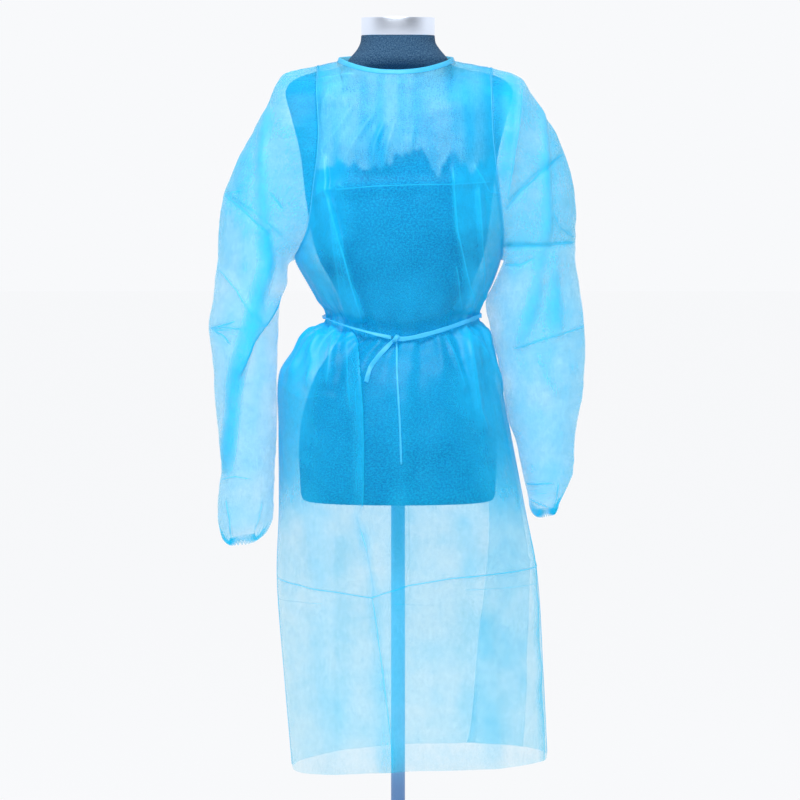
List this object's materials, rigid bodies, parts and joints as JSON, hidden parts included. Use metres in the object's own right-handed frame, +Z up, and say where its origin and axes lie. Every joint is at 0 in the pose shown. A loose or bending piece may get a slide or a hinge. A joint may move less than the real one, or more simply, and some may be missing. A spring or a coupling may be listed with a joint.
{
  "type": "disposable lab gown on a limbless dress form with a stand",
  "caption": "Long translucent back-tied lab gown with elastic wrists and a waist tie, worn by a limbless dress form on a pole and round base.",
  "frame": {"origin": "on the floor at the middle of the round base's underside, on the pole's axis", "axes": "+Z up along the pole; -Y out of the gown's front; +X to the wearer's left, which is the right of the picture"},
  "size_m": [0.6397, 0.3607, 1.5598],
  "materials": {
    "gown_cloth": "thin translucent blue non-woven, dull",
    "tape": "folded strip of the same non-woven",
    "form_cover": "dark blue woven cover",
    "brushed_cap": "brushed, bright",
    "stand_steel": "satin grey"
  },
  "bodies": {
    "root": {"front_panel": "gown_cloth", "back_panel_right": "gown_cloth", "back_panel_left": "gown_cloth", "sleeve_right": "gown_cloth", "sleeve_left": "gown_cloth", "neck_binding": "tape", "neck_knot": "tape", "neck_tail_right": "tape", "neck_tail_left": "tape", "waist_tie": "tape", "waist_knot": "tape", "waist_tail_long": "tape", "waist_tail_short": "tape", "dress_form": "form_cover", "neck_cap": "brushed_cap", "stand_pole": "stand_steel", "stand_collar": "stand_steel", "stand_base": "stand_steel"}
  },
  "joints": []
}
